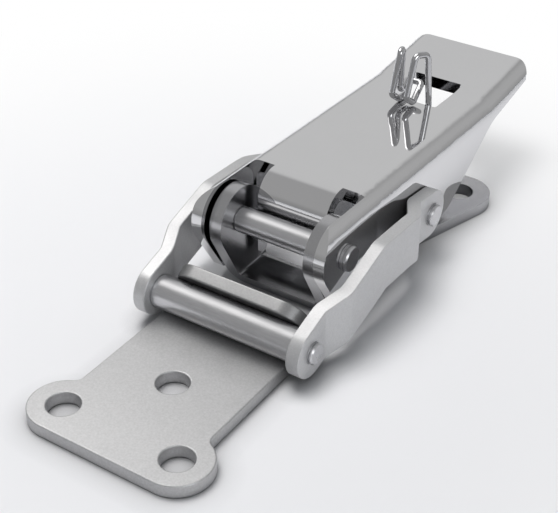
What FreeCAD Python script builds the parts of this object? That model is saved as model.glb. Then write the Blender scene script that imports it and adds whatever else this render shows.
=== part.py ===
import FreeCAD, Part
import math
import os

# Toggle latch: a base with a folded lever, two joggled arms, a hook rod and a hooked catch plate.
# All lengths are in millimetres. X runs across the latch, Y along it and Z up from the mounting face.
# The origin is midway between the two ear holes of the catch plate.

# Sheet thicknesses
catch_sheet = 3.0
base_sheet = 3.0
lever_sheet = 3.0
arm_sheet = 3.0

# Fixing holes, clearance holes for M6 screws
catch_hole_dia = 7.0
base_hole_dia = 7.0

# Catch plate
ear_hole_half_spacing = 14.0
ear_radius = 7.4
centre_hole_y = 17.0
hook_half_width = 16.1
hook_lip_length = 3.6
hook_wrap_deg = 32.0
hook_corner_radius = 5.5
neck_fillet = 2.0

# Hook rod
rod_y = 36.3
rod_dia = 7.5
rod_end_dia = 4.8
rod_end_proud = 1.1
hook_clearance = 0.2

# Lever pivot on the base
pivot_y = 56.2
pivot_z = 17.16
pivot_pin_dia = 5.8
pivot_pin_proud = 1.3

# Rivets that join the arms to the lever
rivet_y = 88.0
rivet_z = 12.0
rivet_dia = 5.2
rivet_proud = 1.2

# Fits, all radial, and the chamfer on the ends of pins
running_fit = 0.05
fixed_fit = 0.01
pin_chamfer = 0.4

# Clearances across the latch, from the inside out
upright_half_gap = 10.4
upright_to_lever = 0.3
lever_to_arm = 0.3
arm_to_pivot_pin = 2.4
hook_to_arm = 1.8

# Base plate
base_front_y = 56.5
upright_head_radius = 7.7
upright_foot_y = 84.8
base_bend_inner = 1.0
base_ear_half_spacing = 14.4
base_ear_y = 113.7
base_ear_radius = 7.6

# Arms
arm_width = 11.4
arm_knee_front_y = 60.8
arm_knee_front_z = 14.6
arm_knee_rear_y = 72.0
arm_knee_rear_z = 14.0
arm_joggle_out_y = 41.5
arm_joggle_out_length = 6.0
arm_joggle_in_y = 75.0
arm_joggle_in_length = 6.0
arm_bend_inner = 2.0

# Lever
lever_top_z = 26.25
lever_top_y = 60.0
lever_fall_deg = 2.4
lever_rise_y = 123.8
lever_rise_deg = 4.8
lever_tip_y = 146.0
lever_tip_corner = 3.6
lever_bend_inner = 1.5
lever_front_radius = 7.3
lever_nose_y = 41.0
lever_foot_y = 54.3
lever_bottom_z = 4.1
lever_heel_y = 102.8
lever_wrist_y = 124.5
lever_wrist_z = 18.1
lever_tip_flange_z = 22.0
tongue_half_width = 8.7
tongue_front_y = 60.1
tongue_bend_inner = 3.0
tongue_bottom_z = 6.0
notch_outer_half = 14.1
notch_rear_y = 67.0
slot_half_width = 6.5
slot_front_y = 113.2
slot_length = 14.4
slot_corner = 0.8

# Wire safety clip
wire_dia = 1.55
wire_slot_clearance = 0.15
clip_seat_gap = 0.05
clip_height = 13.6
clip_foot_reach = 2.3
clip_elbow_reach = 4.5
clip_elbow_rise = 1.8
clip_left_x = -2.1
clip_left_elbow_x = -3.0
clip_left_near_top = (-2.8, -1.4)
clip_left_far_top = (-3.4, 0.8)
clip_left_far_foot = (-1.9, -2.6)
clip_far_foot_rise = 2.0
clip_small_loop_left_x = -2.9
clip_small_loop_width = 4.0
clip_small_loop_back = 2.9
clip_small_loop_rise = 3.8
clip_right_foot_x = 1.6
clip_right_elbow_x = 0.95
clip_right_near_top = (1.2, -1.5)
clip_right_far_top = (2.9, 1.6)
clip_right_far_drop = 0.5
clip_right_x = 4.6
clip_tail_length = 8.0
clip_tail_lift = 0.35
clip_bend = 0.95
clip_top_bend = 1.4

# Derived places
hook_inner_radius = rod_dia / 2 + hook_clearance
hook_outer_radius = hook_inner_radius + catch_sheet
rod_z = catch_sheet + hook_inner_radius
upright_outer = upright_half_gap + base_sheet
wall_inner = upright_outer + upright_to_lever
wall_outer = wall_inner + lever_sheet
pivot_pin_end = wall_outer + pivot_pin_proud
arm_front_inner = hook_half_width + hook_to_arm
arm_mid_inner = pivot_pin_end + arm_to_pivot_pin
arm_rear_inner = wall_outer + lever_to_arm
rod_end = arm_front_inner + arm_sheet + rod_end_proud
rivet_end = arm_rear_inner + arm_sheet + rivet_proud
lever_bend_outer = lever_bend_inner + lever_sheet


def vec(x, y, z):
    return FreeCAD.Vector(x, y, z)


def side(u, v):
    """A point of a side profile, u along the latch and v up."""
    return vec(0, u, v)


def plan(u, v):
    """A point of a plan profile, u across the latch and v along it."""
    return vec(u, v, 0)


def front(u, v):
    """A point of a cross-section, u across the latch and v up."""
    return vec(u, 0, v)


def rounded_face(corners, place):
    """A flat face from corners (u, v, radius), each corner rounded with its own radius."""
    count = len(corners)
    trims = []
    for i in range(count):
        u, v, r = corners[i]
        here = FreeCAD.Vector(u, v, 0)
        back = FreeCAD.Vector(corners[i - 1][0], corners[i - 1][1], 0).sub(here)
        ahead = corners[(i + 1) % count]
        on = FreeCAD.Vector(ahead[0], ahead[1], 0).sub(here)
        if r <= 0:
            trims.append((here, None, here))
            continue
        half = back.getAngle(on) / 2
        reach = r / math.tan(half)
        back.normalize()
        on.normalize()
        start = here.add(back.multiply(reach))
        end = here.add(FreeCAD.Vector(on).multiply(reach))
        inward = start.add(end).multiply(0.5).sub(here)
        inward.normalize()
        middle = here.add(inward.multiply(r / math.sin(half) - r))
        trims.append((start, middle, end))
    edges = []
    for i in range(count):
        start, middle, end = trims[i]
        if middle is not None:
            points = [place(p.x, p.y) for p in (start, middle, end)]
            edges.append(Part.Arc(*points).toShape())
        following = trims[(i + 1) % count][0]
        if end.sub(following).Length > 1e-6:
            edges.append(Part.LineSegment(place(end.x, end.y), place(following.x, following.y)).toShape())
    return Part.Face(Part.Wire(edges))


def belt_face(rounds, place):
    """The face inside a taut belt round circles (u, v, radius), listed anticlockwise."""
    count = len(rounds)
    touches = []
    for i in range(count):
        ua, va, ra = rounds[i]
        ub, vb, rb = rounds[(i + 1) % count]
        span = math.hypot(ub - ua, vb - va)
        along = math.atan2(vb - va, ub - ua)
        normal = along - math.pi / 2 + math.asin((ra - rb) / span)
        touches.append((normal, (ua + ra * math.cos(normal), va + ra * math.sin(normal)),
                        (ub + rb * math.cos(normal), vb + rb * math.sin(normal))))
    edges = []
    for i in range(count):
        u, v, r = rounds[i]
        arrive = touches[i - 1]
        leave = touches[i]
        if r > 0:
            sweep = (leave[0] - arrive[0]) % (2 * math.pi)
            mid = arrive[0] + sweep / 2
            middle = (u + r * math.cos(mid), v + r * math.sin(mid))
            edges.append(Part.Arc(place(*arrive[2]), place(*middle), place(*leave[1])).toShape())
        edges.append(Part.LineSegment(place(*leave[1]), place(*leave[2])).toShape())
    return Part.Face(Part.Wire(edges))


def across(face, x_from, x_to):
    """Extrude a side profile from one X to another."""
    moved = face.copy()
    moved.translate(vec(x_from, 0, 0))
    return moved.extrude(vec(x_to - x_from, 0, 0))


def upward(face, z_from, z_to):
    """Extrude a plan profile from one Z to another."""
    moved = face.copy()
    moved.translate(vec(0, 0, z_from))
    return moved.extrude(vec(0, 0, z_to - z_from))


def bar(radius, x_from, x_to, y, z):
    """A round bar along X."""
    return Part.makeCylinder(radius, x_to - x_from, vec(x_from, y, z), vec(1, 0, 0))


def drill(radius, x, y, height):
    """A cutter for a hole down through a plate that lies on the mounting face."""
    return Part.makeCylinder(radius, height + 2, vec(x, y, -1), vec(0, 0, 1))


def mirrored(shape):
    return shape.mirror(vec(0, 0, 0), vec(1, 0, 0))


def single(shape):
    """Merge coplanar faces and return the one solid."""
    merged = shape.removeSplitter()
    return merged.Solids[0] if len(merged.Solids) == 1 else merged


def chamfered_pin(parts, x_ends):
    """Fuse coaxial bars and break the edges of the end faces that are named."""
    body = parts[0]
    for extra in parts[1:]:
        body = body.fuse(extra)
    body = body.removeSplitter()
    rims = []
    for edge in body.Edges:
        box = edge.BoundBox
        for x in x_ends:
            if abs(box.XMin - x) < 1e-4 and abs(box.XMax - x) < 1e-4:
                rims.append(edge)
    return single(body.makeChamfer(pin_chamfer, rims))


def make_hook_rod():
    """A shouldered rod: the thick middle seats in the hook and the thin ends are riveted in the arms."""
    middle = bar(rod_dia / 2, -arm_front_inner, arm_front_inner, rod_y, rod_z)
    ends = bar(rod_end_dia / 2, -rod_end, rod_end, rod_y, rod_z)
    return chamfered_pin([middle, ends], (-rod_end, rod_end))


def make_lever_pivot_pin():
    """A plain pin through both lever walls and both uprights."""
    pin = bar(pivot_pin_dia / 2, -pivot_pin_end, pivot_pin_end, pivot_y, pivot_z)
    return chamfered_pin([pin], (-pivot_pin_end, pivot_pin_end))


def make_right_rivet():
    """A short rivet through one arm and one lever wall, flush inside the wall."""
    rivet = bar(rivet_dia / 2, wall_inner, rivet_end, rivet_y, rivet_z)
    return chamfered_pin([rivet], (rivet_end,))


def hook_section():
    """The catch plate's side section: flat, then wrapped behind the rod with a lip over it."""
    wrap = math.radians(hook_wrap_deg)
    ri = hook_inner_radius
    ro = hook_outer_radius
    mid = (wrap - math.pi / 2) / 2

    def on_round(radius, angle):
        return side(rod_y + radius * math.cos(angle), rod_z + radius * math.sin(angle))

    lip = side(-math.sin(wrap) * hook_lip_length, math.cos(wrap) * hook_lip_length)
    inner_end = on_round(ri, wrap)
    outer_end = on_round(ro, wrap)
    inner_tip = inner_end.add(lip)
    outer_tip = outer_end.add(lip)
    start_y = centre_hole_y
    points_in = (side(rod_y, catch_sheet), on_round(ri, mid), inner_end)
    points_out = (outer_end, on_round(ro, mid), side(rod_y, 0))
    edges = [
        Part.LineSegment(side(start_y, 0), side(start_y, catch_sheet)).toShape(),
        Part.LineSegment(side(start_y, catch_sheet), points_in[0]).toShape(),
        Part.Arc(*points_in).toShape(),
        Part.LineSegment(inner_end, inner_tip).toShape(),
        Part.LineSegment(inner_tip, outer_tip).toShape(),
        Part.LineSegment(outer_tip, outer_end).toShape(),
        Part.Arc(*points_out).toShape(),
        Part.LineSegment(side(rod_y, 0), side(start_y, 0)).toShape(),
    ]
    return Part.Face(Part.Wire(edges))


def make_catch_plate():
    """One sheet: an eared plate whose neck wraps up behind the rod and leans over it."""
    ears = belt_face([(-ear_hole_half_spacing, 0, ear_radius), (ear_hole_half_spacing, 0, ear_radius)], plan)
    plate = upward(ears, 0, catch_sheet)
    neck = [(-hook_half_width, 0, 0), (hook_half_width, 0, 0), (hook_half_width, centre_hole_y + 5, 0),
            (-hook_half_width, centre_hole_y + 5, 0)]
    plate = plate.fuse(upward(rounded_face(neck, plan), 0, catch_sheet)).removeSplitter()
    inner_corners = []
    for edge in plate.Edges:
        box = edge.BoundBox
        upright = box.ZLength > catch_sheet * 0.9 and box.XLength < 1e-4 and box.YLength < 1e-4
        if upright and abs(abs(box.XMin) - hook_half_width) < 1e-3 and 0 < box.YMin < centre_hole_y:
            inner_corners.append(edge)
    plate = plate.makeFillet(neck_fillet, inner_corners)
    hook = across(hook_section(), -hook_half_width, hook_half_width)
    wrap = math.radians(hook_wrap_deg)
    tip_s = rod_z * math.cos(wrap) - rod_y * math.sin(wrap) + hook_lip_length
    outline = [(-hook_half_width, -60, 0), (hook_half_width, -60, 0),
               (hook_half_width, tip_s, hook_corner_radius), (-hook_half_width, tip_s, hook_corner_radius)]

    def along_lip(u, v):
        return vec(u, -v * math.sin(wrap), v * math.cos(wrap))

    facing = vec(0, math.cos(wrap), math.sin(wrap))
    window = rounded_face(outline, along_lip)
    window.translate(FreeCAD.Vector(facing).multiply(rod_y * math.cos(wrap)))
    window = window.extrude(FreeCAD.Vector(facing).multiply(3 * hook_outer_radius))
    rear_half = Part.makeBox(4 * hook_half_width, 4 * hook_outer_radius, 8 * hook_outer_radius,
                             vec(-2 * hook_half_width, rod_y, -2 * hook_outer_radius))
    corners = hook.common(rear_half).cut(window)
    high = Part.makeBox(4 * hook_half_width, 4 * hook_outer_radius, 4 * hook_outer_radius,
                        vec(-2 * hook_half_width, rod_y - hook_outer_radius, rod_z))
    hook = hook.cut(corners.common(high))
    body = plate.fuse(hook)
    for x in (-ear_hole_half_spacing, ear_hole_half_spacing):
        body = body.cut(drill(catch_hole_dia / 2, x, 0, catch_sheet))
    body = body.cut(drill(catch_hole_dia / 2, 0, centre_hole_y, catch_sheet))
    return single(body)


def make_base_plate():
    """One sheet: a flat plate flared out to two rear ears, with two uprights folded up in front."""
    ro = base_bend_inner + base_sheet
    tall = pivot_z + upright_head_radius + 5
    section = [(-upright_outer, 0, ro), (upright_outer, 0, ro), (upright_outer, tall, 0),
               (upright_half_gap, tall, 0), (upright_half_gap, base_sheet, base_bend_inner),
               (-upright_half_gap, base_sheet, base_bend_inner), (-upright_half_gap, tall, 0),
               (-upright_outer, tall, 0)]
    channel = rounded_face(section, front)
    channel.translate(vec(0, pivot_y - 2 * upright_head_radius, 0))
    channel = channel.extrude(vec(0, upright_foot_y - pivot_y + 2 * upright_head_radius, 0))
    head = belt_face([(base_front_y, 0, 0), (upright_foot_y, 0, 0), (upright_foot_y, base_sheet + ro, 0),
                      (pivot_y, pivot_z, upright_head_radius)], side)
    uprights = channel.common(across(head, -upright_outer - 1, upright_outer + 1))
    flare = [(-upright_outer, upright_foot_y, 0), (upright_outer, upright_foot_y, 0),
             (base_ear_half_spacing, base_ear_y, base_ear_radius),
             (-base_ear_half_spacing, base_ear_y, base_ear_radius)]
    rear = upward(belt_face(flare, plan), 0, base_sheet)
    body = uprights.fuse(rear)
    for x in (-base_ear_half_spacing, base_ear_half_spacing):
        body = body.cut(drill(base_hole_dia / 2, x, base_ear_y, base_sheet))
    hole = pivot_pin_dia / 2 + fixed_fit
    body = body.cut(bar(hole, -upright_outer - 1, upright_outer + 1, pivot_y, pivot_z))
    return single(body)


def offset_path(points, distance):
    """The mitred parallel of an open path, to its right-hand side as it runs."""
    result = []
    for i, here in enumerate(points):
        before = points[i - 1] if i > 0 else None
        after = points[i + 1] if i + 1 < len(points) else None
        angles = []
        if before is not None:
            angles.append(math.atan2(here[1] - before[1], here[0] - before[0]))
        if after is not None:
            angles.append(math.atan2(after[1] - here[1], after[0] - here[0]))
        mean = sum(angles) / len(angles)
        half = (angles[-1] - angles[0]) / 2
        reach = distance / math.cos(half)
        result.append((here[0] + reach * math.sin(mean), here[1] - reach * math.cos(mean)))
    return result


def make_right_arm():
    """A strap with round ends, cranked in side view and joggled out and back in plan."""
    r = arm_width / 2
    centres = [(rod_y, rod_z, r), (arm_knee_front_y, arm_knee_front_z, r),
               (arm_knee_rear_y, arm_knee_rear_z, r), (rivet_y, rivet_z, r)]
    strap = None
    for first, second in zip(centres[:-1], centres[1:]):
        piece = across(belt_face([first, second], side), 0, 60)
        strap = piece if strap is None else strap.fuse(piece)
    strap = strap.removeSplitter()
    start = rod_y - arm_width
    end = rivet_y + arm_width
    inner = [(arm_front_inner, start), (arm_front_inner, arm_joggle_out_y),
             (arm_mid_inner, arm_joggle_out_y + arm_joggle_out_length), (arm_mid_inner, arm_joggle_in_y),
             (arm_rear_inner, arm_joggle_in_y + arm_joggle_in_length), (arm_rear_inner, end)]
    outer = offset_path(inner, arm_sheet)
    inside = arm_bend_inner
    outside = arm_bend_inner + arm_sheet
    radii_inner = (0, outside, inside, inside, outside, 0)
    radii_outer = (0, inside, outside, outside, inside, 0)
    ring = [(p[0], p[1], r0) for p, r0 in zip(inner, radii_inner)]
    ring += [(p[0], p[1], r0) for p, r0 in reversed(list(zip(outer, radii_outer)))]
    ribbon = upward(rounded_face(ring, plan), -20, 60)
    arm = strap.common(ribbon)
    arm = arm.cut(bar(rod_end_dia / 2 + fixed_fit, 0, 60, rod_y, rod_z))
    arm = arm.cut(bar(rivet_dia / 2 + fixed_fit, 0, 60, rivet_y, rivet_z))
    return single(arm)


def lever_top(y):
    """Height of the lever's upper face: a gentle fall to the crease, then a rise to the tip."""
    fall = math.tan(math.radians(lever_fall_deg))
    rise = math.tan(math.radians(lever_rise_deg))
    if y <= lever_rise_y:
        return lever_top_z - (y - lever_top_y) * fall
    return lever_top_z - (lever_rise_y - lever_top_y) * fall + (y - lever_rise_y) * rise


def lever_channel(y_from, y_to):
    """A length of folded channel under the lever's upper face, with rounded bends and some spare length."""
    deep = lever_top_z
    section = [(-wall_outer, 0, lever_bend_outer), (-wall_outer, -deep, 0), (-wall_inner, -deep, 0),
               (-wall_inner, -lever_sheet, lever_bend_inner), (wall_inner, -lever_sheet, lever_bend_inner),
               (wall_inner, -deep, 0), (wall_outer, -deep, 0), (wall_outer, 0, lever_bend_outer)]
    start = vec(0, y_from, lever_top(y_from))
    end = vec(0, y_to, lever_top(y_to))
    run = end.sub(start)
    step = FreeCAD.Vector(run)
    step.normalize()
    spare = FreeCAD.Vector(step).multiply(20)
    channel = rounded_face(section, front)
    channel.translate(start.sub(spare))
    return channel.extrude(run.add(FreeCAD.Vector(spare).multiply(2)))


def lever_side_outline():
    """The lever's side silhouette: round nose, straight bottom, swept up to a shallow rim at the tip."""
    high = lever_top_z + 10
    tall = lever_top_z
    return rounded_face([
        (lever_nose_y, tall, lever_front_radius),
        (lever_foot_y, lever_bottom_z, 1.0),
        (lever_heel_y, lever_bottom_z, 8.0),
        (lever_wrist_y, lever_wrist_z, 12.0),
        (lever_tip_y, lever_tip_flange_z, 0),
        (lever_tip_y, high, 0),
        (lever_top_y + 4, high, 0),
        (lever_top_y, tall, 0),
    ], side)


def make_tongue():
    """The middle of the lever's sheet, turned down behind the pivot pin."""
    behind = tongue_front_y + lever_sheet
    rear = notch_rear_y + 2
    profile = rounded_face([
        (tongue_front_y, lever_top(tongue_front_y), tongue_bend_inner + lever_sheet),
        (tongue_front_y, tongue_bottom_z, 0.5),
        (behind, tongue_bottom_z, 0.5),
        (behind, lever_top(behind) - lever_sheet, tongue_bend_inner),
        (rear, lever_top(rear) - lever_sheet, 0),
        (rear, lever_top(rear), 0),
    ], side)
    return across(profile, -tongue_half_width, tongue_half_width)


def make_lever():
    """One sheet: a channel with a notched front, a turned-down tongue, a slot, a raised tip and pin holes."""
    front_part = lever_channel(lever_top_y, lever_rise_y)
    tip_part = lever_channel(lever_rise_y, lever_tip_y)
    beyond_crease = Part.makeBox(6 * wall_outer, 200, 400, vec(-3 * wall_outer, lever_rise_y, -200))
    front_part = front_part.cut(beyond_crease)
    tip_part = tip_part.common(beyond_crease)
    channel = front_part.fuse(tip_part)
    body = channel.common(across(lever_side_outline(), -wall_outer - 1, wall_outer + 1))
    tip = [(-wall_outer, 0, 0), (wall_outer, 0, 0), (wall_outer, lever_tip_y, lever_tip_corner),
           (-wall_outer, lever_tip_y, lever_tip_corner)]
    body = body.common(upward(rounded_face(tip, plan), -20, 80))
    window = Part.makeBox(2 * notch_outer_half, 60, 60, vec(-notch_outer_half, notch_rear_y - 60, 0))
    body = body.cut(window).fuse(make_tongue())
    slot = [(-slot_half_width, slot_front_y, slot_corner), (slot_half_width, slot_front_y, slot_corner),
            (slot_half_width, slot_front_y + slot_length, slot_corner),
            (-slot_half_width, slot_front_y + slot_length, slot_corner)]
    body = body.cut(upward(rounded_face(slot, plan), lever_bottom_z, lever_top_z + 10))
    body = body.cut(bar(pivot_pin_dia / 2 + running_fit, -wall_outer - 1, wall_outer + 1, pivot_y, pivot_z))
    body = body.cut(bar(rivet_dia / 2 + running_fit, -wall_outer - 1, wall_outer + 1, rivet_y, rivet_z))
    return single(body)


def bent_wire(points, radius, bends):
    """A round wire through the points, each corner bent to its own centreline radius."""
    edges = []
    last = points[0]
    for i in range(1, len(points) - 1):
        here = points[i]
        back = points[i - 1].sub(here)
        on = points[i + 1].sub(here)
        half = back.getAngle(on) / 2
        bend = bends[i]
        reach = bend / math.tan(half)
        back.normalize()
        on.normalize()
        start = here.add(FreeCAD.Vector(back).multiply(reach))
        end = here.add(FreeCAD.Vector(on).multiply(reach))
        inward = back.add(on)
        inward.normalize()
        middle = here.add(inward.multiply(bend / math.sin(half) - bend))
        edges.append(Part.LineSegment(last, start).toShape())
        edges.append(Part.Arc(start, middle, end).toShape())
        last = end
    edges.append(Part.LineSegment(last, points[-1]).toShape())
    ring = Part.Wire(Part.makeCircle(radius, points[0], points[1].sub(points[0])))
    swept = Part.Wire(edges).makePipeShell([ring], True, True)
    return Part.Solid(swept) if swept.ShapeType == "Shell" else swept


def make_safety_clip():
    """One wire: two finger loops that stand in front of the slot, a small loop between them and two tails
    that go down through the slot and lie under the sheet. Loop tops are (x, distance behind the slot's edge)."""
    r = wire_dia / 2
    front = slot_front_y
    inside = front + r + wire_slot_clearance
    top = lever_top(front)
    under = top - lever_sheet - r - wire_slot_clearance - clip_tail_lift
    foot_y = front - clip_foot_reach
    elbow_y = front - clip_elbow_reach
    seat = lever_top(foot_y) + r + clip_seat_gap
    elbow_z = seat + clip_elbow_rise
    high = top + clip_height - r
    back_y = front + clip_small_loop_back
    loop_z = top + clip_small_loop_rise
    tail = vec(0, -clip_tail_length, -clip_tail_lift)
    points = [
        vec(clip_left_x, inside, under).add(tail),
        vec(clip_left_x, inside, under),
        vec(clip_left_x, inside, seat),
        vec(clip_left_x, foot_y, seat),
        vec(clip_left_elbow_x, elbow_y, elbow_z),
        vec(clip_left_near_top[0], front + clip_left_near_top[1], high),
        vec(clip_left_far_top[0], front + clip_left_far_top[1], high),
        vec(clip_left_far_foot[0], front + clip_left_far_foot[1], seat + clip_far_foot_rise),
        vec(clip_small_loop_left_x, back_y, loop_z),
        vec(clip_small_loop_left_x + clip_small_loop_width, back_y, loop_z),
        vec(clip_right_foot_x, foot_y, seat),
        vec(clip_right_elbow_x, elbow_y, elbow_z),
        vec(clip_right_near_top[0], front + clip_right_near_top[1], high),
        vec(clip_right_far_top[0], front + clip_right_far_top[1], high - clip_right_far_drop),
        vec(clip_right_x, inside, under),
        vec(clip_right_x, inside, under).add(tail),
    ]
    wide = (12, 13)
    bends = [clip_top_bend if i in wide else clip_bend for i in range(len(points))]
    return bent_wire(points, r, bends)


def build():
    """All the pieces of the latch by name."""
    right_arm = make_right_arm()
    right_rivet = make_right_rivet()
    return {
        "catch_plate": make_catch_plate(),
        "base_plate": make_base_plate(),
        "lever": make_lever(),
        "left_arm": mirrored(right_arm),
        "right_arm": right_arm,
        "hook_rod": make_hook_rod(),
        "lever_pivot_pin": make_lever_pivot_pin(),
        "left_arm_rivet": mirrored(right_rivet),
        "right_arm_rivet": right_rivet,
        "safety_clip": make_safety_clip(),
    }


os.makedirs("parts", exist_ok=True)
for name, shape in build().items():
    box = shape.BoundBox
    corners = [round(v, 2) for v in (box.XMin, box.XMax, box.YMin, box.YMax, box.ZMin, box.ZMax)]
    print(name, "valid", shape.isValid(), "solids", len(shape.Solids), "box", corners)
    shape.exportStep("parts/" + name + ".step")
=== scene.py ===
import math

import bmesh
import bpy
import numpy as np
from mathutils import Matrix, Vector


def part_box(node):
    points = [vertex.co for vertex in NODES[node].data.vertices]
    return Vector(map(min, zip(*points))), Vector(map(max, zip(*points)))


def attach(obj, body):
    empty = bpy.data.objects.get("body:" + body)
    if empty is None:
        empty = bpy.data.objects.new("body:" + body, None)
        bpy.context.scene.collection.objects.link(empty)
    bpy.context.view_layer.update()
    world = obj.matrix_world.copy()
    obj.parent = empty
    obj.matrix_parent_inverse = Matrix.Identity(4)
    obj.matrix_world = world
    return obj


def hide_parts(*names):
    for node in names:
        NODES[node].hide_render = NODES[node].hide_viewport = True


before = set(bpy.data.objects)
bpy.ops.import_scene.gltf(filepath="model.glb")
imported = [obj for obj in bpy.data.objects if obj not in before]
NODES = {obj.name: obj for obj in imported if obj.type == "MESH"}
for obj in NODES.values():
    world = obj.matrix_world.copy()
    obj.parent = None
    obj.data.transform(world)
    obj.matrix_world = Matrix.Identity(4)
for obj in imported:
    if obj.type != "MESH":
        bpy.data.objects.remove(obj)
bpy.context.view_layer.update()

bl_info = {
    "name": "Toggle latch dressing",
    "version": (1, 0, 0),
    "blender": (4, 5, 0),
    "location": "View3D > Sidebar > Latch",
    "description": "Finishes the pieces of a folded steel toggle latch and sets up its studio",
    "category": "Object",
}

MM = 0.001


def linear(hex_colour):
    """An sRGB hex colour as linear red, green and blue."""
    parts = np.array([int(hex_colour[i:i + 2], 16) for i in (1, 3, 5)]) / 255.0
    return tuple(np.where(parts <= 0.04045, parts / 12.92, ((parts + 0.055) / 1.055) ** 2.4))


# Sizes and colours

def length(name, description, default):
    """A length property in metres, from a default in millimetres."""
    return bpy.props.FloatProperty(name=name, description=description, default=default * MM, min=0.0,
                                   unit="LENGTH", subtype="DISTANCE")


def colour(name, description, hex_colour):
    """A colour property from an sRGB hex default."""
    return bpy.props.FloatVectorProperty(name=name, description=description, default=linear(hex_colour), size=3,
                                         min=0.0, max=1.0, subtype="COLOR")


class LatchSizes(bpy.types.PropertyGroup):
    plate_edge: length("Plate edge", "Width of the tumbled edge round the plates and arms", 0.35)
    lever_edge: length("Lever edge", "Width of the polished edge round the lever", 0.45)
    rod_edge: length("Rod edge", "Chamfer on the ends of the rod, the pin and the rivets", 0.3)
    wire_dia: length("Wire diameter", "Thickness of the safety clip's wire", 1.55)
    wire_bend: length("Wire bend", "Centreline radius of the safety clip's bends", 0.95)
    wire_top_bend: length("Wire top bend", "Centreline radius at the top of the wide finger loop", 1.4)


class LatchColours(bpy.types.PropertyGroup):
    blasted: colour("Blasted steel", "Matte face of the catch plate", "#BABABB")
    rolled: colour("Rolled steel", "Duller sheet of the base and its uprights", "#BCBCBE")
    satin: colour("Satin steel", "Tumbled side arms", "#C6C6C7")
    turned: colour("Turned steel", "Rod, pin and rivets", "#CCCCCE")
    polished: colour("Polished steel", "Mirror face of the lever", "#DEDEDF")
    wire: colour("Wire steel", "Drawn wire of the safety clip", "#C6C6C8")
    floor: colour("Floor", "Studio floor", "#DFDFE1")


def colours():
    return bpy.context.scene.latch_colours


def sizes():
    return bpy.context.scene.latch_sizes


# Node helpers

def add(tree, kind, settings=None, **links):
    """One node: settings go on its attributes or sockets, links join its sockets to other nodes' outputs."""
    made = tree.nodes.new(kind)
    for key, value in (settings or {}).items():
        if isinstance(key, int) or key in made.inputs:
            made.inputs[key].default_value = value
        else:
            setattr(made, key, value)
    for key, source in links.items():
        socket = int(key[1:]) if key[1:].isdigit() else key.replace("_", " ")
        tree.links.new(source, made.inputs[socket])
    return made


def ranged(tree, value, given, wanted, kind="LINEAR"):
    """A value carried from a given range to a wanted one."""
    limits = {"interpolation_type": kind, "From Min": given[0], "From Max": given[1],
              "To Min": wanted[0], "To Max": wanted[1]}
    return add(tree, "ShaderNodeMapRange", limits, Value=value).outputs["Result"]


def noise(tree, where, size, detail, roughness):
    """Noise whose features are about a size in millimetres wide."""
    settings = {"Scale": 1.0 / (size * MM), "Detail": detail, "Roughness": roughness}
    return add(tree, "ShaderNodeTexNoise", settings, Vector=where).outputs["Fac"]


def sum_of(tree, first, second):
    return add(tree, "ShaderNodeMath", {"operation": "ADD"}, _0=first, _1=second).outputs["Value"]


def product(tree, first, second):
    return add(tree, "ShaderNodeMath", {"operation": "MULTIPLY"}, _0=first, _1=second).outputs["Value"]


def mix(tree, share, first, second):
    """The first shader where the share is 0, the second where it is 1."""
    return add(tree, "ShaderNodeMixShader", None, Fac=share, _1=first, _2=second).outputs["Shader"]


def new_tree(owner, output):
    """An owner's node tree, emptied but for its output node, which comes second."""
    owner.use_nodes = True
    owner.node_tree.nodes.clear()
    return owner.node_tree, add(owner.node_tree, output)


# Materials. All have clouds of this size in millimetres, which change the roughness by this share.
CLOUD_SIZE = 9
CLOUD_SHARE = 0.15
# Parts of the noise's range that are spread over a roughness or tone, and over the clouds' wear
NOISE_RANGE = (0.3, 0.7)
WEAR_RANGE = (0.35, 0.65)
# Where the rod rubs the catch plate and shades it: start and end along Y in millimetres, roughness at the end, and tone
# at the end, which is painted shade under the rod
RUBBED_AND_SHADED = (22, 37, 0.40, 0.65)


def steel(name, base, metallic, roughness, grain, stretch, grain_depth, wave, wave_depth, shade, wear, rubbed_and_shaded=None):
    """Bare stainless steel: a metal whose finish is a fine grain, a slow waviness and cloudy roughness. Grain, wave and
    their depths are in millimetres; shade and wear are the shares by which grain and clouds change the tone."""
    found = bpy.data.materials.get(name)
    if found:
        return found
    material = bpy.data.materials.new(name)
    tree, out = new_tree(material, "ShaderNodeOutputMaterial")
    where = add(tree, "ShaderNodeTexCoord").outputs["Object"]
    stretched = add(tree, "ShaderNodeMapping", {"Scale": stretch}, Vector=where).outputs["Vector"]
    grains = noise(tree, stretched, grain, detail=3.0, roughness=0.6)
    clouds = noise(tree, where, CLOUD_SIZE, detail=4.0, roughness=0.55)
    waves = noise(tree, where, wave, detail=1.0, roughness=0.4)
    rough = ranged(tree, clouds, NOISE_RANGE, (roughness * (1 - CLOUD_SHARE), roughness * (1 + CLOUD_SHARE)))
    tone = product(tree, ranged(tree, grains, NOISE_RANGE, (1 - shade, 1 + shade)),
                   ranged(tree, clouds, WEAR_RANGE, (1 - wear, 1 + wear)))
    if rubbed_and_shaded:
        start, end, smoother, darker = rubbed_and_shaded
        along = add(tree, "ShaderNodeSeparateXYZ", None, Vector=where).outputs["Y"]
        span = (start * MM, end * MM)
        rough = product(tree, rough, ranged(tree, along, span, (1.0, smoother / roughness)))
        # Painted shade under the rod: the tone darkens along Y towards it
        tone = product(tree, tone, ranged(tree, along, span, (1.0, darker)))
    tint = add(tree, "ShaderNodeVectorMath", {"operation": "SCALE", 0: tuple(base)}, Scale=tone).outputs["Vector"]
    low = add(tree, "ShaderNodeBump", {"Strength": 1.0, "Distance": wave_depth * MM}, Height=waves)
    bump = add(tree, "ShaderNodeBump", {"Strength": 1.0, "Distance": grain_depth * MM}, Height=grains,
               Normal=low.outputs["Normal"])
    shader = add(tree, "ShaderNodeBsdfPrincipled", {"Metallic": metallic}, Base_Color=tint, Roughness=rough,
                 Normal=bump.outputs["Normal"])
    tree.links.new(shader.outputs["BSDF"], out.inputs["Surface"])
    return material


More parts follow.
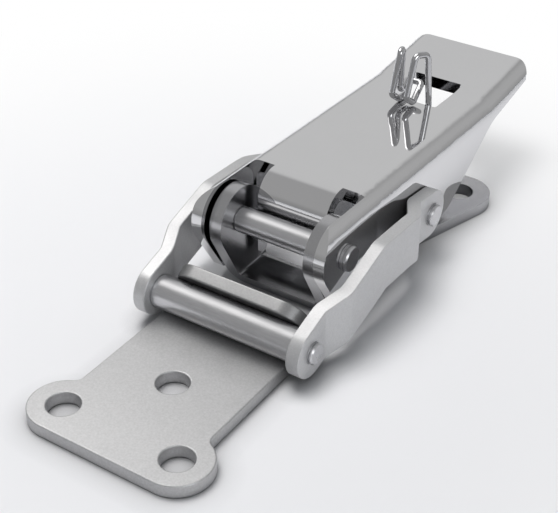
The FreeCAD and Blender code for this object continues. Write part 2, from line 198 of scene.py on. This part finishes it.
def blasted_steel():
    """Stainless 304 sheet, glass-bead blasted: an even matte grey with a fine dimpled grain, smoother towards the hook
    where the rod rubs it, and darker there with painted shade under the rod."""
    return steel("stainless_sheet_bead_blasted", colours().blasted, metallic=0.8, roughness=0.46,
                 grain=0.45, stretch=(1, 1, 1), grain_depth=0.006, wave=8.0, wave_depth=0.004,
                 shade=0.08, wear=0.02, rubbed_and_shaded=RUBBED_AND_SHADED)


def satin_steel():
    """Stainless 304 sheet, tumbled: soft highlights with a very fine grain."""
    return steel("stainless_tumbled_satin", colours().satin, metallic=0.62, roughness=0.5,
                 grain=0.4, stretch=(1, 1, 1), grain_depth=0.002, wave=7.0, wave_depth=0.002,
                 shade=0.06, wear=0.02)


def turned_steel():
    """Stainless 303 bar, drawn, turned to size and barrel polished: bright, with faint lines along the bar."""
    return steel("stainless_turned_bright", colours().turned, metallic=1.0, roughness=0.3,
                 grain=0.3, stretch=(0.1, 1, 1), grain_depth=0.0006, wave=7.0, wave_depth=0.002,
                 shade=0.06, wear=0.015)


def base_steel():
    """Stainless 304 sheet as rolled, lightly tumbled: darker and glossier than the arms."""
    return steel("stainless_rolled_tumbled", colours().rolled, metallic=1.0, roughness=0.22,
                 grain=0.35, stretch=(1, 1, 1), grain_depth=0.0001, wave=7.0, wave_depth=0.001,
                 shade=0.04, wear=0.02)


def polished_steel():
    """Stainless 304 sheet, buffed: near mirror with faint lengthwise polishing lines."""
    return steel("stainless_buffed_mirror", colours().polished, metallic=1.0, roughness=0.04,
                 grain=0.25, stretch=(1, 0.06, 1), grain_depth=0.0001, wave=10.0, wave_depth=0.0006,
                 shade=0.006, wear=0.005)


def wire_steel():
    """Stainless 302 spring wire, hard drawn: bright with a soft sheen and faint die marks."""
    return steel("stainless_wire_drawn", colours().wire, metallic=1.0, roughness=0.12,
                 grain=0.2, stretch=(1, 1, 0.2), grain_depth=0.0004, wave=6.0, wave_depth=0.0005,
                 shade=0.03, wear=0.02)


# Shapes

# Meshes of solids: points closer than this are one, triangles within this angle are one flat face, and edges sharper
# than this are rounded over some strips with a profile (0.5 is a circle)
MERGE_DISTANCE = 0.002 * MM
FLAT_ANGLE = math.radians(0.2)
ROUNDED_ANGLE = math.radians(32)
EDGE_STRIPS = 3
EDGE_PROFILE = 0.6
# Edges sharper than this stay creased, in solids' meshes and in grids
SOLID_CREASE = math.radians(40)
GRID_CREASE = math.radians(30)
TURNED_SIDES = 72
WIRE_SIDES = 20
STEPS_IN_BEND = 9


def place(piece, body, material, slot, *nodes):
    """Give a new piece its material, its body and the solids that it stands for; its slot is not used."""
    piece.data.materials.clear()
    piece.data.materials.append(material)
    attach(piece, body)
    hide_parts(*nodes)


def new_object(name, mesh, work, crease):
    """An object from a worked mesh, with its faces turned outward and smooth and its sharper edges creased."""
    bmesh.ops.recalc_face_normals(work, faces=work.faces)
    for face in work.faces:
        face.smooth = True
    for line in work.edges:
        line.smooth = line.calc_face_angle(0) < crease
    work.to_mesh(mesh)
    work.free()
    piece = bpy.data.objects.new(name, mesh)
    bpy.context.collection.objects.link(piece)
    return piece


def softened(node, name, edge):
    """A copy of a solid's mesh, with its triangles merged to flat faces and each sharp edge rounded over a width."""
    source = NODES[node]
    work = bmesh.new()
    work.from_mesh(source.data)
    work.transform(source.matrix_world)
    bmesh.ops.remove_doubles(work, verts=work.verts, dist=MERGE_DISTANCE)
    bmesh.ops.dissolve_limit(work, angle_limit=FLAT_ANGLE, verts=work.verts, edges=work.edges)
    sharp = [line for line in work.edges if line.is_manifold and line.calc_face_angle(0) > ROUNDED_ANGLE]
    bmesh.ops.bevel(work, geom=sharp, offset=edge, offset_type="OFFSET", segments=EDGE_STRIPS, profile=EDGE_PROFILE,
                    affect="EDGES", clamp_overlap=True)
    piece = new_object(name, bpy.data.meshes.new(name), work, SOLID_CREASE)
    flat = piece.modifiers.new("flat_faces_stay_flat", "WEIGHTED_NORMAL")
    flat.mode = "FACE_AREA"
    flat.weight = 100
    flat.keep_sharp = True
    return piece


def grid_mesh(name, points, close_columns=False, caps=()):
    """A mesh from a grid of points (rows, columns, 3), with its seam closed and a centre point in each cap."""
    rows, columns = points.shape[:2]
    index = np.arange(rows * columns).reshape(rows, columns)
    grid = np.hstack([index, index[:, :1]]) if close_columns else index
    quads = np.stack([grid[:-1, :-1], grid[:-1, 1:], grid[1:, 1:], grid[1:, :-1]], axis=-1).reshape(-1, 4)
    vertices = points.reshape(-1, 3)
    faces = quads.tolist()
    for row in caps:
        vertices = np.vstack([vertices, points[row].mean(axis=0)])
        ring = index[row]
        hub = np.full(columns, len(vertices) - 1)
        faces += np.stack([ring, np.roll(ring, -1), hub], axis=-1).tolist()
    mesh = bpy.data.meshes.new(name)
    mesh.from_pydata(vertices.tolist(), [], faces)
    work = bmesh.new()
    work.from_mesh(mesh)
    return new_object(name, mesh, work, GRID_CREASE)


def turned(name, centre, stations):
    """A turned bar along X: radius r(x) through the stations (x, r) in mm, carried round the axis,
    point = centre + (x, r cos t, r sin t)."""
    along = np.array(stations, dtype=float)
    turn = np.linspace(0, 2 * math.pi, TURNED_SIDES, endpoint=False)
    x = np.repeat(along[:, :1], len(turn), axis=1)
    y = centre[0] + along[:, 1:] * np.cos(turn)[None, :]
    z = centre[1] + along[:, 1:] * np.sin(turn)[None, :]
    return grid_mesh(name, np.stack([x, y, z], axis=-1) * MM, close_columns=True, caps=(0, -1))


def wire_line(corners):
    """The wire's centreline: straight runs, with each corner (x, y, z, bend radius) replaced by a tangent arc."""
    points = corners[:, :3]
    line = [points[0]]
    for before, here, after, bend in zip(points[:-2], points[1:-1], points[2:], corners[1:-1, 3]):
        back = (before - here) / np.linalg.norm(before - here)
        on = (after - here) / np.linalg.norm(after - here)
        half = math.acos(float(np.clip(back @ on, -1, 1))) / 2
        inward = (back + on) / np.linalg.norm(back + on)
        centre = here + inward * bend / math.sin(half)
        first = here + back * bend / math.tan(half) - centre
        last = here + on * bend / math.tan(half) - centre
        total = math.pi - 2 * half
        t = np.linspace(0, 1, STEPS_IN_BEND)[:, None]
        arc = (np.sin((1 - t) * total) * first + np.sin(t * total) * last) / math.sin(total)
        line.extend(centre + arc)
    line.append(points[-1])
    return np.array(line)


def swept(name, line, radius):
    """A round tube on a line: point = line(s) + r (cos t u(s) + sin t v(s)), with u and v carried without twist."""
    tangent = np.gradient(line, axis=0)
    tangent /= np.linalg.norm(tangent, axis=1)[:, None]
    u = np.zeros_like(line)
    start = np.array([1.0, 0, 0]) - tangent[0] * tangent[0][0]
    u[0] = start / np.linalg.norm(start)
    for i in range(1, len(line)):
        carried = u[i - 1] - tangent[i] * (u[i - 1] @ tangent[i])
        u[i] = carried / np.linalg.norm(carried)
    v = np.cross(tangent, u)
    t = np.linspace(0, 2 * math.pi, WIRE_SIDES, endpoint=False)
    ring = np.cos(t)[None, :, None] * u[:, None, :] + np.sin(t)[None, :, None] * v[:, None, :]
    points = line[:, None, :] + radius * ring
    return grid_mesh(name, points * MM, close_columns=True, caps=(0, -1))


# Turned bars, in millimetres

# The groove's outline, as distance along the bar and depth, and the plain collar between a wall and the groove
GROOVE = ((0, 0), (0.04, 0.22), (0.24, 0.22), (0.28, 0))
COLLAR = 0.3
# Share of the radius at which the flat cap of a bar's end starts
CAP_SHARE = 0.45
# The rod's thick middle, and where it steps down to its thinner ends
ROD_RADIUS = 3.75
ROD_GROOVE_START = 17.5
ROD_STEP = 17.9
ROD_END_RADIUS = 2.4
# Where the pin meets the uprights' inner faces
PIN_GROOVE_START = 10.1
# Heights by which the ends stand out of the outer walls
ROD_PROUD = 1.1
PIN_PROUD = 1.3
RIVET_PROUD = 1.2


def groove(start, radius, outward=1):
    """Stations of a fine groove round a bar, from its start along the bar."""
    return [[start + outward * along, radius - deep] for along, deep in GROOVE]


def headed_end(x, radius, edge, proud, outward=1):
    """Stations of a bar's end past the wall that it stands in: a plain collar, a fine groove and a chamfered head."""
    return groove(x - outward * (proud - COLLAR), radius, outward) + [
        [x - outward * edge, radius], [x, radius - edge], [x, radius * CAP_SHARE]]


def mirrored(stations):
    """The stations of a bar's other half, in order along X."""
    return [[-x, r] for x, r in stations[::-1]]


def node_box(node):
    """A solid's lowest and highest corner in millimetres."""
    low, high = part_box(node)
    return [v / MM for v in low], [v / MM for v in high]


def middle(low, high):
    """The place of a bar's axis along the latch and its height, from its box."""
    return (low[1] + high[1]) / 2, (low[2] + high[2]) / 2


# Pieces

class LATCH_OT_catch_plate(bpy.types.Operator):
    """Finish the hooked catch plate"""
    bl_idname = "latch.catch_plate"
    bl_label = "Catch plate"

    def execute(self, context):
        plate = softened("catch_plate", "catch_plate_blasted", sizes().plate_edge)
        place(plate, "catch", blasted_steel(), "matte_steel", "catch_plate")
        return {"FINISHED"}


class LATCH_OT_base_plate(bpy.types.Operator):
    """Finish the folded base with its two uprights"""
    bl_idname = "latch.base_plate"
    bl_label = "Base plate"

    def execute(self, context):
        plate = softened("base_plate", "base_plate_satin", sizes().plate_edge)
        place(plate, "base", base_steel(), "satin_steel", "base_plate")
        return {"FINISHED"}


class LATCH_OT_lever(bpy.types.Operator):
    """Finish the folded, polished lever"""
    bl_idname = "latch.lever"
    bl_label = "Lever"

    def execute(self, context):
        lever = softened("lever", "lever_polished", sizes().lever_edge)
        place(lever, "handle", polished_steel(), "polished_steel", "lever")
        return {"FINISHED"}


class LATCH_OT_arms(bpy.types.Operator):
    """Finish the two joggled side arms"""
    bl_idname = "latch.arms"
    bl_label = "Side arms"

    def execute(self, context):
        for side in ("left", "right"):
            arm = softened(side + "_arm", side + "_arm_satin", sizes().plate_edge)
            place(arm, "arms", satin_steel(), "satin_steel", side + "_arm")
        return {"FINISHED"}


class LATCH_OT_pins(bpy.types.Operator):
    """Turn the hook rod, the lever's pivot pin and the two arm rivets"""
    bl_idname = "latch.pins"
    bl_label = "Rod, pin and rivets"

    def execute(self, context):
        edge = sizes().rod_edge / MM
        low, high = node_box("hook_rod")
        step = [[ROD_STEP, ROD_RADIUS], [ROD_STEP, ROD_END_RADIUS]]
        half = groove(ROD_GROOVE_START, ROD_RADIUS) + step + headed_end(high[0], ROD_END_RADIUS, edge, ROD_PROUD)
        rod = turned("hook_rod_turned", middle(low, high), mirrored(half) + half)
        place(rod, "arms", turned_steel(), "satin_steel", "hook_rod")
        low, high = node_box("lever_pivot_pin")
        radius = (high[2] - low[2]) / 2
        half = groove(PIN_GROOVE_START, radius) + headed_end(high[0], radius, edge, PIN_PROUD)
        pin = turned("lever_pivot_pin_turned", middle(low, high), mirrored(half) + half)
        place(pin, "base", turned_steel(), "satin_steel", "lever_pivot_pin")
        for side, sign in (("left", -1), ("right", 1)):
            low, high = node_box(side + "_arm_rivet")
            near, far = sorted((abs(low[0]), abs(high[0])))
            radius = (high[2] - low[2]) / 2
            inner_end = [[sign * near, radius * CAP_SHARE], [sign * near, radius]]
            stations = inner_end + headed_end(sign * far, radius, edge, RIVET_PROUD, sign)
            rivet = turned(side + "_arm_rivet_turned", middle(low, high), stations)
            place(rivet, "arms", turned_steel(), "satin_steel", side + "_arm_rivet")
        return {"FINISHED"}


class LATCH_OT_safety_clip(bpy.types.Operator):
    """Bend the wire safety clip: two finger loops and a small centre loop in the lever's slot"""
    bl_idname = "latch.safety_clip"
    bl_label = "Safety clip"

    def execute(self, context):
        bend = sizes().wire_bend / MM
        top_bend = sizes().wire_top_bend / MM
        # x, y, z and bend radius of each corner in millimetres, from one tail under the sheet to the other
        corners = np.array([
            [-2.1, 106.125, 19.395, 0], [-2.1, 114.125, 19.745, bend], [-2.1, 114.125, 24.942, bend],
            [-2.1, 110.9, 24.942, bend], [-3.0, 108.7, 26.742, bend], [-2.8, 111.8, 36.845, bend],
            [-3.4, 114.0, 36.845, bend], [-1.9, 110.6, 26.942, bend], [-2.9, 116.1, 27.82, bend],
            [1.1, 116.1, 27.82, bend], [1.6, 110.9, 24.942, bend], [0.95, 108.7, 26.742, bend],
            [1.2, 111.7, 36.845, top_bend], [2.9, 114.8, 36.345, top_bend], [4.6, 114.125, 19.745, bend],
            [4.6, 106.125, 19.395, 0]])
        clip = swept("safety_clip_wire", wire_line(corners), sizes().wire_dia / MM / 2)
        place(clip, "handle", wire_steel(), "polished_steel", "safety_clip")
        return {"FINISHED"}


# Studio, in metres and watts where nothing else is said

# The lever and the base mirror their surroundings and would show the outline of a lamp, so neither group has them
MATTE = ("catch_plate_blasted", "left_arm_satin", "right_arm_satin", "safety_clip_wire")
TURNED = ("hook_rod_turned", "lever_pivot_pin_turned", "left_arm_rivet_turned", "right_arm_rivet_turned")
FLOOR = ("studio_floor",)

OVERHEAD = (-0.30, 0.10, 0.54)
LATCH_CENTRE = (0, 0.07, 0)
WARM = (1.0, 0.985, 0.965)
COOL = (0.97, 0.985, 1.0)
# Name, place, aim, width, depth, power, tint, whether steel mirrors it, and the pieces that it lights (none named: all)
SOFTBOXES = (
    ("key_softbox", OVERHEAD, LATCH_CENTRE, 0.62, 0.62, 5.8, WARM, True, MATTE),
    ("bar_softbox", OVERHEAD, LATCH_CENTRE, 0.62, 0.62, 1.45, WARM, True, TURNED),
    ("fill_softbox", (0.50, -0.20, 0.30), LATCH_CENTRE, 0.5, 0.5, 3.6, COOL, True, MATTE + TURNED),
    ("floor_softbox", (-0.12, 0.06, 0.50), LATCH_CENTRE, 0.45, 0.45, 7.6, (1.0, 0.99, 0.98), False, FLOOR),
    ("rear_softbox", (0.10, 0.65, 0.35), (0, 0.08, 0), 0.6, 0.36, 1.5, (0.98, 0.99, 1.0), False, ()),
)
# A softbox's face, from its middle: where it starts to fade and where it is dark, as a share of its width
LAMP_FADE = (0.1, 0.5)

# The floor lies just under the latch, and painted shadow darkens its colour, down to a share of its paint, where
# something is this close to it
FLOOR_HALF_WIDTH = 3.0
FLOOR_DROP = 0.05 * MM
FLECK_SIZE = 1 / 0.9
FLECK_DEPTH = 0.05 * MM
PAINTED_SHADOW_DISTANCE = 6 * MM
PAINTED_SHADOW_SHARE = 0.25
# For the camera the floor fades to white, between these shares of a radius round a place along Y, in millimetres
FADE_RADIUS = 200
FADE_CENTRE = 36
FADE_RANGE = (0.2, 0.85)

# The light on matte faces, and the sky that steel sees: heights between which its level changes, and both levels
EVEN_TINT = (0.93, 0.965, 1.0, 1)
EVEN_LEVEL = 0.36
SKY_HEIGHTS = (0.05, 0.35)
SKY_LEVELS = (0.32, 0.40)
# Soft bright patches of that sky: direction, cosine of the edge, cosine of the full part, level
SKY_PATCHES = (
    ((-0.50, 0.72, 0.48), 0.80, 0.96, 0.26),
    ((0.60, 0.70, 0.38), 0.80, 0.97, 0.08),
)
WHITE = (1, 1, 1, 1)

# The camera, as the photograph's circles and straight edges give it, in degrees and millimetres
CAMERA_AZIMUTH = 33.53
CAMERA_ELEVATION = 34.68
CAMERA_SENSOR = 36.0
CAMERA_LENS = 84.43
CAMERA_TARGET = (-9.2, 69.32, 0)
CAMERA_DISTANCE = 303.78
CAMERA_CLIP_START = 10


class LATCH_OT_studio(bpy.types.Operator):
    """Set up the pale floor, the soft lights, the surroundings and the camera"""
    bl_idname = "latch.studio"
    bl_label = "Studio"

    def execute(self, context):
        add_floor()
        add_world()
        for softbox in SOFTBOXES:
            add_softbox(*softbox)
        add_camera()
        return {"FINISHED"}


def add_floor():
    """A flat sheet of pale board, large enough to leave the picture on every side."""
    step = np.linspace(-FLOOR_HALF_WIDTH, FLOOR_HALF_WIDTH, 3)
    x, y = np.meshgrid(step, step)
    floor = grid_mesh("studio_floor", np.stack([x, y, np.full_like(x, -FLOOR_DROP)], axis=-1))
    material = bpy.data.materials.new("painted_board_matte")
    tree, out = new_tree(material, "ShaderNodeOutputMaterial")
    where = add(tree, "ShaderNodeTexCoord").outputs["Object"]
    flecks = noise(tree, where, FLECK_SIZE, detail=2.0, roughness=0.5)
    bump = add(tree, "ShaderNodeBump", {"Strength": 0.05, "Distance": FLECK_DEPTH}, Height=flecks)
    # Painted contact shadow: the floor's colour darkens where the latch stands close to it
    painted_shadow_ao = add(tree, "ShaderNodeAmbientOcclusion", {"samples": 8, "Distance": PAINTED_SHADOW_DISTANCE})
    shade = ranged(tree, painted_shadow_ao.outputs["AO"], (0.0, 1.0), (PAINTED_SHADOW_SHARE, 1.0))
    tint = add(tree, "ShaderNodeVectorMath", {"operation": "SCALE", 0: tuple(colours().floor)}, Scale=shade)
    paint = add(tree, "ShaderNodeBsdfPrincipled", {"Roughness": 0.7, "Specular IOR Level": 0.2},
                Base_Color=tint.outputs["Vector"], Normal=bump.outputs["Normal"])
    scale = 1 / MM / FADE_RADIUS
    centred = add(tree, "ShaderNodeMapping", {"Location": (0, -FADE_CENTRE / FADE_RADIUS, 0),
                                              "Scale": (scale, scale, 0)}, Vector=where).outputs["Vector"]
    away = add(tree, "ShaderNodeVectorMath", {"operation": "LENGTH"}, _0=centred).outputs["Value"]
    fade = ranged(tree, away, FADE_RANGE, (0.0, 1.0), "SMOOTHSTEP")
    camera_ray = add(tree, "ShaderNodeLightPath").outputs["Is Camera Ray"]
    white = add(tree, "ShaderNodeEmission", {"Color": WHITE, "Strength": 1.0})
    seen = mix(tree, product(tree, fade, camera_ray), paint.outputs["BSDF"], white.outputs["Emission"])
    tree.links.new(seen, out.inputs["Surface"])
    floor.data.materials.append(material)


def add_world():
    """Surroundings: white for the camera, an even light for matte faces, and for steel a grey sky, paler overhead than
    at the horizon, with soft bright patches."""
    world = bpy.data.worlds.new("soft_studio")
    bpy.context.scene.world = world
    tree, out = new_tree(world, "ShaderNodeOutputWorld")
    path = add(tree, "ShaderNodeLightPath")
    way = add(tree, "ShaderNodeTexCoord").outputs["Generated"]
    height = add(tree, "ShaderNodeSeparateXYZ", None, Vector=way).outputs["Z"]
    level = ranged(tree, height, SKY_HEIGHTS, SKY_LEVELS, "SMOOTHSTEP")
    for toward, cos_edge, cos_full, patch_level in SKY_PATCHES:
        aim = np.array(toward) / np.linalg.norm(toward)
        facing = add(tree, "ShaderNodeVectorMath", {"operation": "DOT_PRODUCT", 1: tuple(aim)}, _0=way)
        patch = ranged(tree, facing.outputs["Value"], (cos_edge, cos_full), (0.0, patch_level), "SMOOTHSTEP")
        level = sum_of(tree, level, patch)
    even = add(tree, "ShaderNodeBackground", {"Color": EVEN_TINT, "Strength": EVEN_LEVEL})
    sky = add(tree, "ShaderNodeBackground", {"Color": WHITE}, Strength=level)
    white = add(tree, "ShaderNodeBackground", {"Color": WHITE, "Strength": 1.0})
    glossy = mix(tree, path.outputs["Is Glossy Ray"], even.outputs["Background"], sky.outputs["Background"])
    final = mix(tree, path.outputs["Is Camera Ray"], glossy, white.outputs["Background"])
    tree.links.new(final, out.inputs["Surface"])


def add_softbox(name, at, to, width, depth, power, tint, mirrored_by_steel, pieces):
    """A soft lamp that points from one place to another. Its face is brightest in the middle and fades out before its
    edges, and it lights the named pieces alone, or all if none is named."""
    light = bpy.data.lights.new(name, "AREA")
    light.shape = "RECTANGLE"
    light.size = width
    light.size_y = depth
    light.energy = power
    light.color = tint
    tree, out = new_tree(light, "ShaderNodeOutputLight")
    face = add(tree, "ShaderNodeNewGeometry").outputs["Parametric"]
    centred = add(tree, "ShaderNodeMapping", {"Location": (-0.5, -0.5, 0), "Scale": (1, 1, 0)}, Vector=face)
    away = add(tree, "ShaderNodeVectorMath", {"operation": "LENGTH"}, _0=centred.outputs["Vector"]).outputs["Value"]
    fade = ranged(tree, away, LAMP_FADE, (1.0, 0.0), "SMOOTHSTEP")
    glow = add(tree, "ShaderNodeEmission", None, Strength=fade)
    tree.links.new(glow.outputs["Emission"], out.inputs["Surface"])
    lamp = bpy.data.objects.new(name, light)
    lamp.location = at
    lamp.rotation_euler = (Vector(to) - Vector(at)).to_track_quat("-Z", "Y").to_euler()
    lamp.visible_glossy = mirrored_by_steel
    bpy.context.collection.objects.link(lamp)
    if pieces:
        lit = bpy.data.collections.new(name + "_lights")
        for piece in pieces:
            lit.objects.link(bpy.data.objects[piece])
        lamp.light_linking.receiver_collection = lit


def add_camera():
    """The camera stands where the photograph's circles and edges put it."""
    camera = bpy.data.objects.new("camera", bpy.data.cameras.new("camera"))
    camera.data.sensor_fit = "HORIZONTAL"
    camera.data.sensor_width = CAMERA_SENSOR
    camera.data.lens = CAMERA_LENS
    camera.data.clip_start = CAMERA_CLIP_START * MM
    tilt = math.pi / 2 - math.radians(CAMERA_ELEVATION)
    turn = Matrix.Rotation(math.radians(CAMERA_AZIMUTH), 4, "Z") @ Matrix.Rotation(tilt, 4, "X")
    back = turn.to_3x3().col[2]
    target = Matrix.Translation([v * MM for v in CAMERA_TARGET])
    camera.matrix_world = target @ Matrix.Translation(back * CAMERA_DISTANCE * MM) @ turn
    bpy.context.collection.objects.link(camera)
    bpy.context.scene.camera = camera


# Add-on

PIECES = (LATCH_OT_catch_plate, LATCH_OT_base_plate, LATCH_OT_lever, LATCH_OT_arms, LATCH_OT_pins,
          LATCH_OT_safety_clip)


class LATCH_PT_panel(bpy.types.Panel):
    """Buttons for each piece of the latch, with its sizes and colours"""
    bl_idname = "LATCH_PT_panel"
    bl_label = "Toggle latch"
    bl_space_type = "VIEW_3D"
    bl_region_type = "UI"
    bl_category = "Latch"

    def draw(self, context):
        layout = self.layout
        for group in (sizes(), colours()):
            for key in group.__annotations__:
                layout.prop(group, key)
        for piece in PIECES + (LATCH_OT_studio,):
            layout.operator(piece.bl_idname)


CLASSES = (LatchSizes, LatchColours) + PIECES + (LATCH_OT_studio, LATCH_PT_panel)


def register():
    for part in CLASSES:
        bpy.utils.register_class(part)
    bpy.types.Scene.latch_sizes = bpy.props.PointerProperty(type=LatchSizes)
    bpy.types.Scene.latch_colours = bpy.props.PointerProperty(type=LatchColours)


def unregister():
    del bpy.types.Scene.latch_colours
    del bpy.types.Scene.latch_sizes
    for part in reversed(CLASSES):
        bpy.utils.unregister_class(part)


def main():
    register()
    bpy.context.scene.view_settings.view_transform = "Standard"
    bpy.ops.latch.catch_plate()
    bpy.ops.latch.base_plate()
    bpy.ops.latch.lever()
    bpy.ops.latch.arms()
    bpy.ops.latch.pins()
    bpy.ops.latch.safety_clip()
    bpy.ops.latch.studio()


if __name__ == "__main__":
    main()
